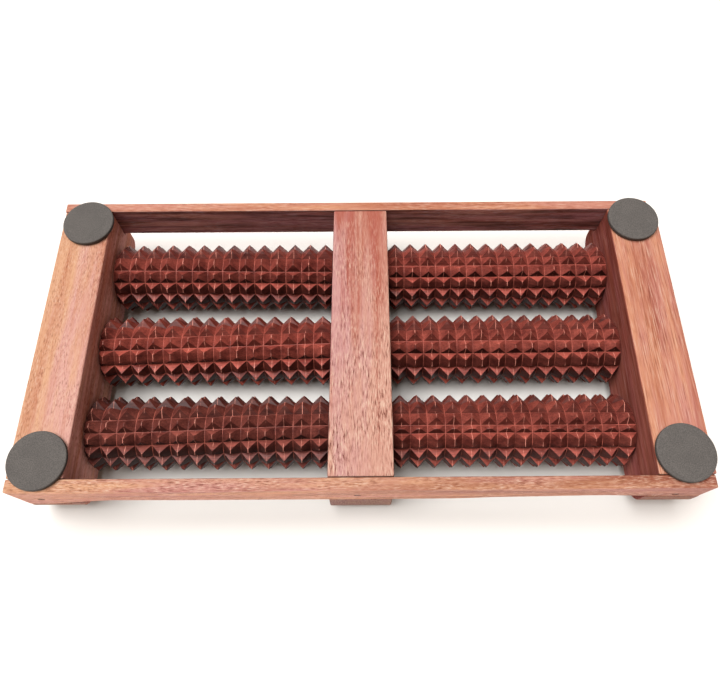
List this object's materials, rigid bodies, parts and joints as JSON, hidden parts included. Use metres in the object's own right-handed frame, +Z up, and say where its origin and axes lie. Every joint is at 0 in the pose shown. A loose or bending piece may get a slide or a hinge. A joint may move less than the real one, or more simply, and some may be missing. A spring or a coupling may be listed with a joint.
{
  "type": "foot massage roller",
  "caption": "Wooden foot massage roller: spiked wooden rollers spin on steel rods in a nailed frame; it lies on its rollers with its round rubber feet on top.",
  "frame": {"origin": "the middle of the frame, on the surface that the roller spikes touch; the massager lies upside down, as in the picture", "axes": "+X along the rollers to the right, +Y from the front rail to the back rail, +Z up, out of the four rubber feet; in use it is turned over and stands on the feet"},
  "size_m": [0.301, 0.146, 0.0459],
  "materials": {
    "frame_wood": "reddish sheesham planed and sanded, thin clear oil",
    "roller_wood": "dark polished rosewood, satin with glossy edges",
    "foot_rubber": "matt grey foam rubber",
    "rod_steel": "plain drawn steel rod",
    "nail_steel": "dull darkened wire nail"
  },
  "bodies": {
    "frame": {"front_rail": "frame_wood", "back_rail": "frame_wood", "left_end_board": "frame_wood", "center_divider": "frame_wood", "right_end_board": "frame_wood", "axle_rod_front": "rod_steel", "axle_rod_middle": "rod_steel", "axle_rod_back": "rod_steel", "nail_front_left": "nail_steel", "nail_front_center": "nail_steel", "nail_front_right": "nail_steel", "nail_back_left": "nail_steel", "nail_back_center": "nail_steel", "nail_back_right": "nail_steel", "rubber_foot_front_left": "foot_rubber", "rubber_foot_front_right": "foot_rubber", "rubber_foot_back_left": "foot_rubber", "rubber_foot_back_right": "foot_rubber"},
    "roller_front_left_body": {"roller_front_left": "roller_wood"},
    "roller_front_right_body": {"roller_front_right": "roller_wood"},
    "roller_middle_left_body": {"roller_middle_left": "roller_wood"},
    "roller_middle_right_body": {"roller_middle_right": "roller_wood"},
    "roller_back_left_body": {"roller_back_left": "roller_wood"},
    "roller_back_right_body": {"roller_back_right": "roller_wood"}
  },
  "joints": [
    {"name": "roller_front_left_spin", "type": "hinge", "parent": "frame", "child": "roller_front_left_body", "pos_m": [-0.0705, -0.0405, 0.01709], "axis": [1, 0, 0], "continuous": true},
    {"name": "roller_front_right_spin", "type": "hinge", "parent": "frame", "child": "roller_front_right_body", "pos_m": [0.0696, -0.0405, 0.01709], "axis": [1, 0, 0], "continuous": true},
    {"name": "roller_middle_left_spin", "type": "hinge", "parent": "frame", "child": "roller_middle_left_body", "pos_m": [-0.07027, 0.0015, 0.01709], "axis": [1, 0, 0], "continuous": true},
    {"name": "roller_middle_right_spin", "type": "hinge", "parent": "frame", "child": "roller_middle_right_body", "pos_m": [0.06973, 0.0015, 0.01709], "axis": [1, 0, 0], "continuous": true},
    {"name": "roller_back_left_spin", "type": "hinge", "parent": "frame", "child": "roller_back_left_body", "pos_m": [-0.07004, 0.0435, 0.01709], "axis": [1, 0, 0], "continuous": true},
    {"name": "roller_back_right_spin", "type": "hinge", "parent": "frame", "child": "roller_back_right_body", "pos_m": [0.06986, 0.0435, 0.01709], "axis": [1, 0, 0], "continuous": true}
  ]
}
